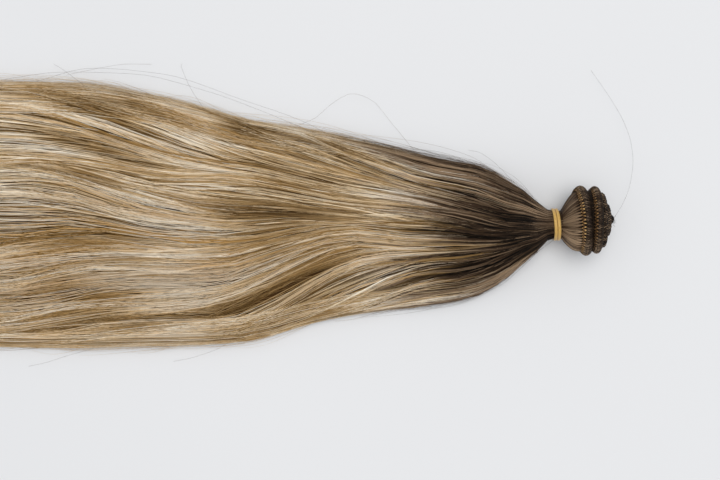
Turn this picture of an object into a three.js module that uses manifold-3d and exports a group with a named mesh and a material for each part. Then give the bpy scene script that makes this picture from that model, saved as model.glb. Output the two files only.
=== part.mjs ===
// A weft hair extension lying on a table: the sewn weft is rolled up into a stepped coil, an elastic
// wound twice holds the hair together beside it, and the loose length spreads out in soft locks.
// Millimetres, +Z up, +X from the tips towards the rolled weft, origin in the middle of the footprint.

import * as THREE from "three";
import { mergeVertices } from "three/addons/utils/BufferGeometryUtils.js";
import Module from "manifold-3d";

// Loose length of hair
const fallLength = 492; // from the elastic to the longest tips
const fallWidth = 175; // across the widest part of the spread hair
const fallDepth = 17; // thickness of the spread hair where it has settled on the table
const lockDepth = 3.6; // how far a full lock stands out of the mass below it
const tipThickness = 1.4; // a lock at its very tip
const waistShare = 0.14; // height of the hair's widest level, as a share of its thickness
const crown = 1.35; // 1 gives the hair an elliptical back, more gives it thinner sides
const neckStep = 0.25; // first step along the hair, as a share of what even steps would be

// Gathered neck and the elastic round it
const neckRadius = 8.6; // hair squeezed inside the elastic
const neckHeight = 16; // middle of the neck above the table
const elasticWidth = 2.5;
const elasticThickness = 1.6;
const elasticTurnGap = 0.3; // between the elastic's two turns
const elasticLean = 0.09; // how far its +Y side lies further back, as a share of its width
const crossingSharpness = 6; // how quickly its turns change places below the neck
const crossingSpan = 0.5; // radians either way of the crossing where one turn passes over the other
const crossingRamp = 0.6; // radians in which it then comes back down to the neck
const clearance = 0.3; // between pieces that touch in the real thing

// Rolled weft
const rollRadius = 22.4; // outside of the largest turn
const rollDepth = 33.5; // from the elastic to the innermost end of the weft
const rollShift = 2.4; // the roll lies this far to the +Y side of the neck
const rollFlat = 0.5; // how far the roll's own weight flattens it on the table
const weftWidth = 6.8; // sewn edge, along the strip's face
const weftThickness = 2.7; // sewn edge, through its rows of stitches
const weftEnds = 0.7; // size of the sewn edge at its two ends, as a share of the full size
const stripFlatness = 0.75; // 1 gives strips an elliptical section, less a flatter one

// Fineness of the faceted solids
const coreSides = 20;
const coreSteps = 24;
const lockSides = 6;
const lockSteps = 18;
const rollSides = 26;
const weftSides = 8;
const elasticSides = 8;
const elasticSteps = 72;

const fallMaterial = new THREE.MeshStandardMaterial({ color: 0xb59467, roughness: 0.45 });
const rootMaterial = new THREE.MeshStandardMaterial({ color: 0x6f5a48, roughness: 0.5 });
const weftMaterial = new THREE.MeshStandardMaterial({ color: 0x4a3b30, roughness: 0.6 });
const elasticMaterial = new THREE.MeshStandardMaterial({ color: 0xd9b14e, roughness: 0.3 });

// Sections of the loose length. at: share of fallLength from the elastic. far and near: share of
// fallWidth by which that edge stands outside the neck, far being the +Y side. swell: share of
// neckRadius by which the hair springs out above and below. settle: 0 at the neck's height and 1
// lying on the table. thick: share of fallDepth.
const fallSections = [
  { at: 0.000, far: 0.000, near: 0.000, swell: 0.00, settle: 0.00, thick: 1.30 },
  { at: 0.011, far: 0.010, near: 0.020, swell: 0.18, settle: 0.02, thick: 1.34 },
  { at: 0.021, far: 0.025, near: 0.044, swell: 0.26, settle: 0.08, thick: 1.38 },
  { at: 0.046, far: 0.080, near: 0.105, swell: 0.32, settle: 0.34, thick: 1.42 },
  { at: 0.072, far: 0.128, near: 0.170, swell: 0.32, settle: 0.70, thick: 1.38 },
  { at: 0.098, far: 0.172, near: 0.208, swell: 0.28, settle: 0.94, thick: 1.30 },
  { at: 0.125, far: 0.191, near: 0.228, swell: 0.20, settle: 1.00, thick: 1.22 },
  { at: 0.205, far: 0.239, near: 0.257, swell: 0.00, settle: 1.00, thick: 1.06 },
  { at: 0.312, far: 0.300, near: 0.314, swell: 0.00, settle: 1.00, thick: 1.00 },
  { at: 0.419, far: 0.349, near: 0.385, swell: 0.00, settle: 1.00, thick: 0.96 },
  { at: 0.527, far: 0.428, near: 0.396, swell: 0.00, settle: 1.00, thick: 0.91 },
  { at: 0.634, far: 0.484, near: 0.414, swell: 0.00, settle: 1.00, thick: 0.85 },
  { at: 0.741, far: 0.490, near: 0.410, swell: 0.00, settle: 1.00, thick: 0.77 },
  { at: 0.840, far: 0.468, near: 0.392, swell: 0.00, settle: 1.00, thick: 0.60 },
  { at: 0.920, far: 0.425, near: 0.355, swell: 0.00, settle: 1.00, thick: 0.34 },
  { at: 1.000, far: 0.360, near: 0.300, swell: 0.00, settle: 1.00, thick: 0.13 },
];
const coreEnd = 0.95; // share of fallLength where the mass below the locks runs out
const coreRound = 0.08; // how far its sides stop short of its middle, as a share of fallLength

// Main locks. root and lane: place across the hair at the neck and at the tips, -1 at the near edge
// and 1 at the far one. girth: share of the half width. stand: share of lockDepth. reach: share of
// fallLength at its tip. sway: how far it wanders sideways, as a share of the half width.
const locks = [
  { root: -0.92, lane: -0.93, girth: 0.080, stand: 0.80, reach: 0.885, sway: 0.010 },
  { root: -0.66, lane: -0.80, girth: 0.115, stand: 1.00, reach: 0.955, sway: -0.020 },
  { root: -0.46, lane: -0.64, girth: 0.085, stand: 0.70, reach: 0.930, sway: 0.035 },
  { root: -0.32, lane: -0.49, girth: 0.130, stand: 1.05, reach: 0.985, sway: -0.030 },
  { root: -0.20, lane: -0.32, girth: 0.090, stand: 0.75, reach: 0.955, sway: 0.040 },
  { root: -0.08, lane: -0.17, girth: 0.120, stand: 1.00, reach: 1.000, sway: -0.025 },
  { root: 0.00, lane: 0.01, girth: 0.080, stand: 0.65, reach: 0.965, sway: 0.030 },
  { root: 0.08, lane: 0.17, girth: 0.135, stand: 1.10, reach: 0.995, sway: 0.035 },
  { root: 0.17, lane: 0.35, girth: 0.085, stand: 0.70, reach: 0.960, sway: -0.040 },
  { root: 0.28, lane: 0.50, girth: 0.125, stand: 1.05, reach: 0.985, sway: 0.030 },
  { root: 0.42, lane: 0.67, girth: 0.095, stand: 0.80, reach: 0.945, sway: -0.030 },
  { root: 0.62, lane: 0.81, girth: 0.110, stand: 0.95, reach: 0.955, sway: 0.020 },
  { root: 0.90, lane: 0.93, girth: 0.075, stand: 0.80, reach: 0.890, sway: -0.010 },
];
const lockWave = 0.42; // length of a sideways wave, as a share of fallLength
const lockBlend = 0.06; // share of fallLength over which a lock grows out of the neck
const lockTaper = 0.86; // share of a lock's length after which it narrows to its tip
const lockThin = 0.28; // width and thickness left at the tip, as a share of the full lock
const lockSink = 0.5; // share of lockDepth by which the mass lies below the locks' outline
const lockHalf = 0.6; // half of a lock's thickness, as a share of lockDepth

// Middle of the sewn edge in the roll, by turns from its outer end, which is under the roll.
// along: share of rollDepth from the elastic. out: share of rollRadius. lean: degrees by which the
// strip's face turns from facing outwards to facing the roll's end.
const weftPath = [
  { turn: 0.00, along: 0.370, out: 0.940, lean: 0 },
  { turn: 0.25, along: 0.430, out: 0.940, lean: 0 },
  { turn: 0.75, along: 0.550, out: 0.940, lean: 0 },
  { turn: 1.25, along: 0.722, out: 0.915, lean: 0 },
  { turn: 1.75, along: 0.765, out: 0.868, lean: 6 },
  { turn: 2.25, along: 0.848, out: 0.640, lean: 66 },
  { turn: 2.75, along: 0.866, out: 0.612, lean: 70 },
  { turn: 3.25, along: 0.926, out: 0.382, lean: 66 },
  { turn: 3.75, along: 0.945, out: 0.335, lean: 60 },
  { turn: 4.25, along: 0.992, out: 0.130, lean: 20 },
  { turn: 4.75, along: 1.000, out: 0.110, lean: 8 },
];

// Outside of the rolled roots. along: share of their length from the elastic to the roll's end.
// out: share of rollRadius.
const rootSections = [
  { along: 0.000, out: 0.384 },
  { along: 0.027, out: 0.545 },
  { along: 0.102, out: 0.665 },
  { along: 0.188, out: 0.785 },
  { along: 0.273, out: 0.862 },
  { along: 0.348, out: 0.884 },
  { along: 0.539, out: 0.884 },
  { along: 0.642, out: 0.870 },
  { along: 0.761, out: 0.830 },
  { along: 0.816, out: 0.740 },
  { along: 0.874, out: 0.518 },
  { along: 0.942, out: 0.281 },
  { along: 1.000, out: 0.090 },
];

// Value of a column at a place in a table, on a smooth curve that doesn't overshoot its rows.
function column(rows, key, place, name) {
  const last = rows.length - 1;
  const spot = THREE.MathUtils.clamp(place, rows[0][key], rows[last][key]);
  let i = 0;
  while (i < last - 1 && spot > rows[i + 1][key]) i += 1;
  const slope = (k) => (rows[k + 1][name] - rows[k][name]) / (rows[k + 1][key] - rows[k][key]);
  const tangent = (k) => {
    if (k === 0) return slope(0);
    if (k === last) return slope(last - 1);
    const before = slope(k - 1);
    const after = slope(k);
    return before * after <= 0 ? 0 : (2 * before * after) / (before + after);
  };
  const span = rows[i + 1][key] - rows[i][key];
  const t = (spot - rows[i][key]) / span;
  const rise = t * t * (3 - 2 * t);
  return (
    rows[i][name] * (1 - rise) +
    rows[i + 1][name] * rise +
    tangent(i) * span * t * (1 - t) * (1 - t) -
    tangent(i + 1) * span * t * t * (1 - t)
  );
}

// A closed body along a path. place gives a point for the step along it, and for side and up, which
// run round a circle on the skin and are 0 in the middle of the flat ends.
function sweep(sides, steps, place) {
  const geometry = new THREE.CylinderGeometry(1, 1, steps, sides, steps);
  const points = geometry.getAttribute("position");
  for (let i = 0; i < points.count; i += 1) {
    const step = Math.round(steps / 2 - points.getY(i));
    const { x, y, z } = place(step, points.getX(i), points.getZ(i));
    points.setXYZ(i, x, y, z);
  }
  return geometry;
}

const wasm = await Module();
wasm.setup();

function toSolid(geometry) {
  const bare = geometry.clone();
  bare.deleteAttribute("normal");
  bare.deleteAttribute("uv");
  const merged = mergeVertices(bare);
  return new wasm.Manifold(
    new wasm.Mesh({
      numProp: 3,
      vertProperties: merged.getAttribute("position").array,
      triVerts: new Uint32Array(merged.index.array),
    }),
  );
}

function toGeometry(solid) {
  const mesh = solid.getMesh();
  const geometry = new THREE.BufferGeometry();
  geometry.setAttribute("position", new THREE.BufferAttribute(mesh.vertProperties, 3));
  geometry.setIndex(new THREE.BufferAttribute(mesh.triVerts, 1));
  return geometry;
}

// Cuts off what would reach below the table, which leaves the flat that the hair rests on.
function settledOnTable(solid) {
  const reach = 2 * (fallLength + rollDepth + fallWidth);
  const table = new THREE.BoxGeometry(reach, reach, reach).translate(0, 0, -reach / 2);
  return solid.subtract(toSolid(table));
}

function biggestBody(solid) {
  return solid.decompose().reduce((best, body) => (body.volume() > best.volume() ? body : best));
}

// Squares a round section up a little, so that a strip has flat faces and rounded edges.
function squared(value) {
  return Math.sign(value) * Math.abs(value) ** stripFlatness;
}

const elasticOut = neckRadius + clearance + elasticThickness;
const elasticReach = elasticWidth + elasticTurnGap / 2 + elasticLean * elasticOut;
const neckReach = elasticReach + clearance; // from the elastic's middle to where the hair swells
const fallStart = neckReach / fallLength;
const rootsStart = neckReach + clearance;

// Edges and heights of the loose length at a share of its length.
function fallSection(at) {
  const value = (name) => column(fallSections, "at", at, name);
  const settle = value("settle");
  const spring = neckRadius * (1 + value("swell"));
  const far = neckRadius + value("far") * fallWidth;
  const near = neckRadius + value("near") * fallWidth;
  const top = THREE.MathUtils.lerp(neckHeight + spring, value("thick") * fallDepth, settle);
  const under = THREE.MathUtils.lerp(neckHeight - spring, 0, settle);
  const waist = THREE.MathUtils.lerp(neckHeight, waistShare * top, settle);
  return { top, under, waist, settle, middle: (far - near) / 2, half: (far + near) / 2 };
}

// Share of a section's height at a place across it, -1 to 1: round at the neck, flatter at the sides
// once the hair lies on the table.
function crownHeight(across, settle) {
  const round = Math.sqrt(Math.max(0, 1 - across * across));
  return round ** THREE.MathUtils.lerp(1, crown, settle);
}

// Share of the length at a step, with shorter steps near the neck.
function lengthShare(step, steps, end) {
  const share = step / steps;
  return THREE.MathUtils.lerp(fallStart, end, share * THREE.MathUtils.lerp(neckStep, 1, share));
}

// The mass of hair below the locks: a round neck that flattens into a soft pad on the table.
function fallCore() {
  return sweep(coreSides, coreSteps + 1, (step, side, up) => {
    if (step < 2) {
      const x = step === 0 ? neckReach : -neckReach;
      return { x, y: -neckRadius * side, z: neckHeight + neckRadius * up };
    }
    const at = lengthShare(step - 1, coreSteps, coreEnd);
    const { top, under, waist, middle, half, settle } = fallSection(at);
    const sink = lockDepth * lockSink * settle;
    const flat = settle * lockSink; // below the table, so that the cut leaves a flat
    const back = (top - sink - waist) * crownHeight(side, settle);
    const belly = (waist - under + flat) * crownHeight(side, 0);
    const onSkin = Math.hypot(side, up) > 0.5;
    const height = onSkin ? (up > 0 ? back : -belly) : 0;
    const short = coreRound * side * side * (at / coreEnd) ** 4;
    return { x: (short - at) * fallLength, y: middle - half * side, z: waist + height };
  });
}

// One lock: a flattened strand of hair that rides on the mass, thin at the neck and pointed at its tip.
function lockBody({ root, lane, girth, stand, reach, sway }, index) {
  return sweep(lockSides, lockSteps, (step, side, up) => {
    const at = lengthShare(step + 1, lockSteps + 1, reach);
    const { top, waist, middle, half, settle } = fallSection(at);
    const spread = THREE.MathUtils.smoothstep(at, 0, 1);
    const wave = Math.sin((2 * Math.PI * at) / lockWave + index);
    const across = THREE.MathUtils.lerp(root, lane, spread) + sway * spread * wave;
    const full = 1 - THREE.MathUtils.clamp((at / reach - lockTaper) / (1 - lockTaper), 0, 1) ** 2;
    const grown = THREE.MathUtils.smoothstep(at, fallStart, lockBlend);
    const size = THREE.MathUtils.lerp(lockThin, 1, full * grown);
    const width = girth * half * size;
    const thick = Math.max(tipThickness / 2, stand * lockDepth * lockHalf * size);
    const lift = waist + (top - lockDepth * lockSink - waist) * crownHeight(across, settle);
    return {
      x: -at * fallLength,
      y: middle + half * across - width * side,
      z: Math.max(lift, thick / 2) + thick * up,
    };
  });
}

function hairFall() {
  const joined = locks.reduce(
    (body, lock, index) => body.add(toSolid(lockBody(lock, index))),
    toSolid(fallCore()),
  );
  return toGeometry(biggestBody(settledOnTable(joined)));
}

// Where the roll's axis is, at a distance from the elastic: it climbs to the height the roll needs.
function rollAxis(x) {
  const climb = THREE.MathUtils.smoothstep(x, 0, weftPath[1].along * rollDepth);
  return {
    y: rollShift * climb,
    z: THREE.MathUtils.lerp(neckHeight, rollRadius - rollFlat, climb),
  };
}

// A stretch of the sewn edge, which winds inwards and steps outwards, with room added all round it.
// It runs from one facet to another, counted along the whole strip.
function weftStretch(first, last, room) {
  return sweep(weftSides, last - first, (step, side, up) => {
    const facet = first + step;
    const turn = facet / rollSides;
    const value = (name) => column(weftPath, "turn", turn, name);
    const lean = THREE.MathUtils.degToRad(value("lean"));
    const atEnd = facet <= 0 || facet >= weftFacets;
    const size = atEnd && room === 0 ? weftEnds : 1;
    const across = (weftWidth / 2 + room) * size * squared(side);
    const through = (weftThickness / 2 + room) * size * squared(up);
    const radius = value("out") * rollRadius - across * Math.sin(lean) + through * Math.cos(lean);
    const x = value("along") * rollDepth + across * Math.cos(lean) + through * Math.sin(lean);
    const axis = rollAxis(x);
    const bearing = 2 * Math.PI * turn;
    return {
      x,
      y: axis.y + radius * Math.sin(bearing),
      z: axis.z - radius * Math.cos(bearing),
    };
  });
}

const weftFacets = Math.floor(weftPath[weftPath.length - 1].turn * rollSides);

function weftEdge() {
  return toGeometry(settledOnTable(toSolid(weftStretch(0, weftFacets, 0))));
}

// The roots rolled up inside the sewn edge: a fan out of the neck and then the roll's core, with a
// groove in which the sewn edge lies. The groove is cut half a turn at a time.
function rolledRoots() {
  const body = sweep(rollSides, rootSections.length - 1, (step, side, up) => {
    const { along, out } = rootSections[step];
    const x = THREE.MathUtils.lerp(rootsStart, rollDepth, along);
    const radius = out * rollRadius;
    const axis = rollAxis(x);
    return { x, y: axis.y + radius * side, z: axis.z + radius * up };
  });
  const halfTurn = rollSides / 2;
  let carved = settledOnTable(toSolid(body));
  for (let first = -1; first < weftFacets; first += halfTurn) {
    const last = Math.min(first + halfTurn + 1, weftFacets + 1);
    carved = carved.subtract(toSolid(weftStretch(first, last, clearance)));
  }
  return toGeometry(biggestBody(carved));
}

// The elastic: one closed loop wound twice round the neck. Its turns lie side by side and change
// places under the neck, where one passes over the other.
function elasticLoop() {
  const turnShift = (elasticWidth + elasticTurnGap) / 2;
  const geometry = new THREE.TorusGeometry(2, 1, elasticSides, elasticSteps);
  const points = geometry.getAttribute("position");
  for (let i = 0; i < points.count; i += 1) {
    const bearing = 2 * Math.atan2(points.getY(i), points.getX(i));
    const up = Math.hypot(points.getX(i), points.getY(i)) - 2;
    const swap = Math.tanh(crossingSharpness * Math.cos(bearing / 2));
    const fromCrossing = Math.abs(bearing - Math.PI);
    const lift = 1 - THREE.MathUtils.smoothstep(fromCrossing, crossingSpan, crossingSpan + crossingRamp);
    const middle = neckRadius + clearance + elasticThickness / 2;
    const radius =
      middle + lift * (elasticThickness + clearance) + (elasticThickness / 2) * squared(up);
    const height = radius * Math.cos(bearing);
    const across = radius * Math.sin(bearing);
    points.setXYZ(
      i,
      turnShift * swap - (elasticWidth / 2) * squared(points.getZ(i)) - elasticLean * across,
      across,
      neckHeight + height,
    );
  }
  return geometry;
}

function piece(name, geometry, material) {
  const mesh = new THREE.Mesh(geometry, material);
  mesh.name = name;
  return mesh;
}

const hairExtension = new THREE.Group();
hairExtension.add(
  piece("hair_fall", hairFall(), fallMaterial),
  piece("elastic_band", elasticLoop(), elasticMaterial),
  piece("rolled_roots", rolledRoots(), rootMaterial),
  piece("weft_edge", weftEdge(), weftMaterial),
);

const footprint = new THREE.Box3().setFromObject(hairExtension);
const centre = footprint.getCenter(new THREE.Vector3());
hairExtension.position.set(-centre.x, -centre.y, -footprint.min.z);

export default hairExtension;
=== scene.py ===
# A weft hair extension lying on a table: loose blond hair with dark roots, a doubled elastic round it,
# and the sewn weft rolled up into a stepped coil.
import math
import bmesh
import bpy
import numpy as np
from mathutils import Matrix, Vector


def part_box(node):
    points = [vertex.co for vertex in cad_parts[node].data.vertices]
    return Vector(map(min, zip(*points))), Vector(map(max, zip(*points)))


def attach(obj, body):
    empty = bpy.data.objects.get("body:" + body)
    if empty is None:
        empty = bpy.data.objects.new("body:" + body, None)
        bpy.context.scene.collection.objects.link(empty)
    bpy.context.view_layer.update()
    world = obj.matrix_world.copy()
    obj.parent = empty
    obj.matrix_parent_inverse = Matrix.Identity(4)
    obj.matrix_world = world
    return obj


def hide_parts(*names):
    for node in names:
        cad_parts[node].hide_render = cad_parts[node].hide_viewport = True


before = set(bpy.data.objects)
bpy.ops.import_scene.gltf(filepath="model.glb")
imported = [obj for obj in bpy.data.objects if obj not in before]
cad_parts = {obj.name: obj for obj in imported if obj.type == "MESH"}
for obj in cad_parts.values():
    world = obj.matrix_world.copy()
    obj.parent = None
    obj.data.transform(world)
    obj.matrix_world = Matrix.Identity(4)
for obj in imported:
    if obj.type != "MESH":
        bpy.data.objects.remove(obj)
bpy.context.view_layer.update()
scene = bpy.context.scene

bandLow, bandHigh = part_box("elastic_band")
bandX = (bandLow.x + bandHigh.x) / 2
bandY = (bandLow.y + bandHigh.y) / 2

# Camera, light and floor

def addObject(name, data):
    made = bpy.data.objects.new(name, data)
    scene.collection.objects.link(made)
    return made


view = {
    "width": 720, "height": 480,        # the photo's size in pixels
    "bandAcross": 196, "bandUp": 15.5,  # where the elastic lies from its middle, in pixels
    "pixel": 0.00065,                   # size of a pixel on the level of the hair
    "level": 0.015, "distance": 0.829,  # that level, and how far above it the camera is
    "bandHeight": 0.016, "sensor": 36, "clipStart": 0.05,
}
halfWidth, halfHeight = view["width"] / 2, view["height"] / 2
cameraHeight = view["distance"] + view["level"]
bandPixel = view["pixel"] * (cameraHeight - view["bandHeight"]) / view["distance"]
cameraData = bpy.data.cameras.new("camera")
cameraData.sensor_width = view["sensor"]
cameraData.lens = view["sensor"] * view["distance"] / (view["width"] * view["pixel"])
cameraData.clip_start = view["clipStart"]
camera = addObject("camera", cameraData)
camera.location = (bandX - view["bandAcross"] * bandPixel, bandY - view["bandUp"] * bandPixel, cameraHeight)
scene.camera = camera
middleX, middleY = camera.location.x, camera.location.y

studio = {
    "place": (0.45, 0.3, 2.6), "size": 2.2, "power": 40, "colour": (1.0, 0.985, 0.96),
    "sky": (0.93, 0.95, 0.985, 1), "skyStrength": 0.625,
    "tableSize": 3, "tableLevel": -0.0003, "tableShade": (0.735, 0.74, 0.75, 1),
    "tablePaint": (0.765, 0.77, 0.78, 1),
}
lampData = bpy.data.lights.new("key", "AREA")
lampData.shape = "DISK"
lampData.size = studio["size"]
lampData.energy = studio["power"]
lampData.color = studio["colour"]
lamp = addObject("key", lampData)
lamp.location = studio["place"]
aim = Vector((middleX, middleY, 0)) - lamp.location
lamp.rotation_euler = aim.to_track_quat("-Z", "Y").to_euler()

world = bpy.data.worlds.new("studio")
scene.world = world
world.use_nodes = True
sky = world.node_tree.nodes["Background"]
sky.inputs["Color"].default_value = studio["sky"]
sky.inputs["Strength"].default_value = studio["skyStrength"]
scene.view_settings.view_transform = "Standard"


# Helpers for finishes

def paint(red, green, blue):
    def linear(value):
        value /= 255
        return value / 12.92 if value <= 0.04045 else ((value + 0.055) / 1.055) ** 2.4
    return (linear(red), linear(green), linear(blue), 1)


class Signal:  # a shader socket that can be added and multiplied
    def __init__(self, finish, socket):
        self.finish = finish
        self.socket = socket

    def combine(self, operation, first, second):
        return self.finish.add("ShaderNodeMath", {"operation": operation}, {0: first, 1: second})

    def __add__(self, other):
        return self.combine("ADD", self, other)

    def __radd__(self, other):
        return self.combine("ADD", other, self)

    def __mul__(self, other):
        return self.combine("MULTIPLY", self, other)

    def __rmul__(self, other):
        return self.combine("MULTIPLY", other, self)


class Finish:  # a material under construction
    def __init__(self, name):
        self.material = bpy.data.materials.new(name)
        self.material.use_nodes = True
        self.tree = self.material.node_tree
        self.shader = self.tree.nodes["Principled BSDF"]

    def add(self, kind, settings, values, output=0):
        node = self.tree.nodes.new(kind)
        for key, value in settings.items():
            if key == "stops":
                stops = node.color_ramp.elements
                while len(stops) < len(value):
                    stops.new(0.5)
                for stop, (place, colour) in zip(stops, value):
                    stop.position = place
                    stop.color = colour
            else:
                setattr(node, key, value)
        for key, value in values.items():
            self.feed(node.inputs[key], value)
        return Signal(self, node.outputs[output])

    def feed(self, socket, value):
        if isinstance(value, Signal):
            self.tree.links.new(value.socket, socket)
        else:
            socket.default_value = value

    def set(self, **values):
        names = {"colour": "Base Color", "roughness": "Roughness", "normal": "Normal",
                 "sheen": "Sheen Weight", "specular": "Specular IOR Level"}
        for key, value in values.items():
            self.feed(self.shader.inputs[names[key]], value)
        return self.material

    def mixColours(self, share, first, second):
        return self.add("ShaderNodeMix", {"data_type": "RGBA"}, {"Factor": share, 6: first, 7: second},
                        output=2)

    def ramp(self, share, stops):
        return self.add("ShaderNodeValToRGB", {"stops": stops}, {"Fac": share})

    def noise(self, vector, scale, detail):
        return self.add("ShaderNodeTexNoise", {}, {"Vector": vector, "Scale": scale, "Detail": detail})

    def stretched(self, vector, scale):
        return self.add("ShaderNodeMapping", {}, {"Vector": vector, "Scale": scale})

    def bump(self, height, strength, distance):
        return self.add("ShaderNodeBump", {}, {"Height": height, "Strength": strength, "Distance": distance})


def makeFloor():
    bm = bmesh.new()
    bmesh.ops.create_grid(bm, x_segments=1, y_segments=1, size=studio["tableSize"],
                          matrix=Matrix.Translation((middleX, middleY, studio["tableLevel"])))
    mesh = bpy.data.meshes.new("table_top")
    bm.to_mesh(mesh)
    bm.free()
    floor = addObject("table_top", mesh)
    finish = Finish("pale_table")
    place = finish.add("ShaderNodeTexCoord", {}, {}, output=3)
    cloud = finish.noise(place, 3.0, detail=1.0)
    finish.set(colour=finish.mixColours(cloud, studio["tableShade"], studio["tablePaint"]), roughness=0.75)
    mesh.materials.append(finish.material)


makeFloor()
print("stage: camera, lights and table")

# Shapes of the hair, the same as the solids have

hair = {
    "length": 0.492, "width": 0.175, "depth": 0.017, "waistShare": 0.14, "crown": 1.35,
    "neckRadius": 0.0086, "neckHeight": 0.016, "neckEnd": 0.0039, "neckEase": 0.008,
    "at": (0, 0.011, 0.021, 0.046, 0.072, 0.098, 0.125, 0.205, 0.312, 0.419, 0.527, 0.634, 0.741,
           0.84, 0.92, 1),
    "far": (0, 0.01, 0.025, 0.08, 0.128, 0.172, 0.191, 0.239, 0.3, 0.349, 0.428, 0.484, 0.49,
            0.468, 0.425, 0.36),
    "near": (0, 0.02, 0.044, 0.105, 0.17, 0.208, 0.228, 0.257, 0.314, 0.385, 0.396, 0.414, 0.41,
             0.392, 0.355, 0.3),
    "swell": (0, 0.18, 0.26, 0.32, 0.32, 0.28, 0.2, 0, 0, 0, 0, 0, 0, 0, 0, 0),
    "settle": (0, 0.02, 0.08, 0.34, 0.7, 0.94, 1, 1, 1, 1, 1, 1, 1, 1, 1, 1),
    "thick": (1.3, 1.34, 1.38, 1.42, 1.38, 1.3, 1.22, 1.06, 1, 0.96, 0.91, 0.85, 0.77, 0.6, 0.34, 0.13),
}


def smoothColumn(places, values, at):  # a smooth curve through a table that doesn't overshoot it
    places, values = np.asarray(places, float), np.asarray(values, float)
    slope = np.diff(values) / np.diff(places)
    before, after = slope[:-1], slope[1:]
    both = before + after
    inner = np.where(before * after > 0, 2 * before * after / np.where(both == 0, 1, both), 0)
    tangent = np.concatenate(([slope[0]], inner, [slope[-1]]))
    at = np.clip(at, places[0], places[-1])
    i = np.clip(np.searchsorted(places, at, side="right") - 1, 0, len(places) - 2)
    span = places[i + 1] - places[i]
    t = (at - places[i]) / span
    rise = t * t * (3 - 2 * t)
    return (values[i] * (1 - rise) + values[i + 1] * rise + tangent[i] * span * t * (1 - t) ** 2
            - tangent[i + 1] * span * t * t * (1 - t))


def ease(value, start, end):
    t = np.clip((value - start) / (end - start), 0, 1)
    return t * t * (3 - 2 * t)


def hairSection(at):
    neck = hair["neckEnd"] / hair["length"]
    eased = at * ease(at, neck, neck + hair["neckEase"])
    keys = ("far", "near", "swell", "settle", "thick")
    value = {key: smoothColumn(hair["at"], hair[key], eased) for key in keys}
    settle = value["settle"]
    spring = hair["neckRadius"] * (1 + value["swell"])
    far = hair["neckRadius"] + value["far"] * hair["width"]
    near = hair["neckRadius"] + value["near"] * hair["width"]
    top = (hair["neckHeight"] + spring) * (1 - settle) + value["thick"] * hair["depth"] * settle
    under = (hair["neckHeight"] - spring) * (1 - settle)
    waist = hair["neckHeight"] * (1 - settle) + hair["waistShare"] * top * settle
    return top, under, waist, settle, (far - near) / 2, (far + near) / 2


def onHair(at, across, lift, below=False):  # points on the hair's back, or on its belly
    top, under, waist, settle, middle, half = hairSection(at)
    side = np.sqrt(np.clip(1 - across ** 2, 0, 1))
    if below:
        z = waist - (waist - under) * side - lift
    else:
        z = waist + (top - waist) * side ** (1 + (hair["crown"] - 1) * settle) + lift
    return np.stack((bandX - at * hair["length"], bandY + middle + half * across, z), axis=-1)


# how the hair flows away from its parting: for a lock that ends at a place (row), how far it has
# come from the parting (0) towards the edge (1) at each share of the length
flow = {
    "stations": 121,
    "at": (0, 0.08, 0.152, 0.258, 0.354, 0.447, 0.59, 0.742, 1),
    "parting": (0, 0.14, 0.2, 0.16, 0.06, -0.05, -0.11, -0.15, -0.13),
    "end": (0, 0.25, 0.5, 0.75, 0.9, 1),
    "farSide": (
        (0, 0, 0, 0, 0, 0, 0, 0, 0),
        (0.12, 0.06, 0.05, 0.06, 0.08, 0.13, 0.28, 0.43, 0.47),
        (0.28, 0.14, 0.1, 0.15, 0.25, 0.38, 0.54, 0.74, 0.77),
        (0.45, 0.25, 0.19, 0.4, 0.68, 0.87, 0.92, 0.94, 0.94),
        (0.74, 0.56, 0.52, 0.75, 0.92, 0.97, 0.975, 0.98, 0.98),
        (1, 1, 1, 1, 1, 1, 1, 1, 1),
    ),
    "nearSide": (
        (0, 0, 0, 0, 0, 0, 0, 0, 0),
        (0.14, 0.08, 0.06, 0.08, 0.13, 0.19, 0.23, 0.29, 0.3),
        (0.3, 0.17, 0.12, 0.19, 0.33, 0.44, 0.49, 0.63, 0.65),
        (0.5, 0.3, 0.22, 0.36, 0.6, 0.72, 0.74, 0.88, 0.9),
        (0.76, 0.58, 0.54, 0.74, 0.88, 0.945, 0.955, 0.97, 0.975),
        (1, 1, 1, 1, 1, 1, 1, 1, 1),
    ),
}


def flowAcross(at, end):  # at: shares of the length; end: place at the tips, -1 to 1, one row a strand
    stations = np.linspace(0, 1, flow["stations"])
    parting = np.interp(at, stations, smoothColumn(flow["at"], flow["parting"], stations))
    sides = {}
    for key in ("farSide", "nearSide"):
        sides[key] = np.array([smoothColumn(flow["at"], row, stations) for row in flow[key]])
    last = flow["stations"] - 1
    where = np.clip(at * last, 0, last - 0.001)
    left = where.astype(int)
    share = where - left
    size = np.abs(end)
    upper = np.zeros_like(at)
    lower = np.zeros_like(at)
    for key, result in (("farSide", upper), ("nearSide", lower)):
        grid = sides[key]
        for i in range(len(flow["end"]) - 1):
            low, high = flow["end"][i], flow["end"][i + 1]
            inside = (size >= low) & (size <= high if i == len(flow["end"]) - 2 else size < high)
            t = (size - low) / (high - low)
            a = grid[i][left] * (1 - share) + grid[i][left + 1] * share
            b = grid[i + 1][left] * (1 - share) + grid[i + 1][left + 1] * share
            result[inside] = (a * (1 - t) + b * t)[inside]
    return np.where(end >= 0, parting + upper * (1 - parting), parting - lower * (1 + parting))


# Making meshes

mergeDistance = 1e-6
bakeCell = {"left": 0.04, "width": 0.92, "bottom": 0.15, "height": 0.7}  # a strand's part of its cell
pieces = []


def addPiece(name, mesh, material, replaced=()):
    piece = addObject(name, mesh)
    mesh.materials.clear()
    mesh.materials.append(material)
    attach(piece, "root")
    if replaced:
        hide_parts(*replaced)
    pieces.append(piece)


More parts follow.
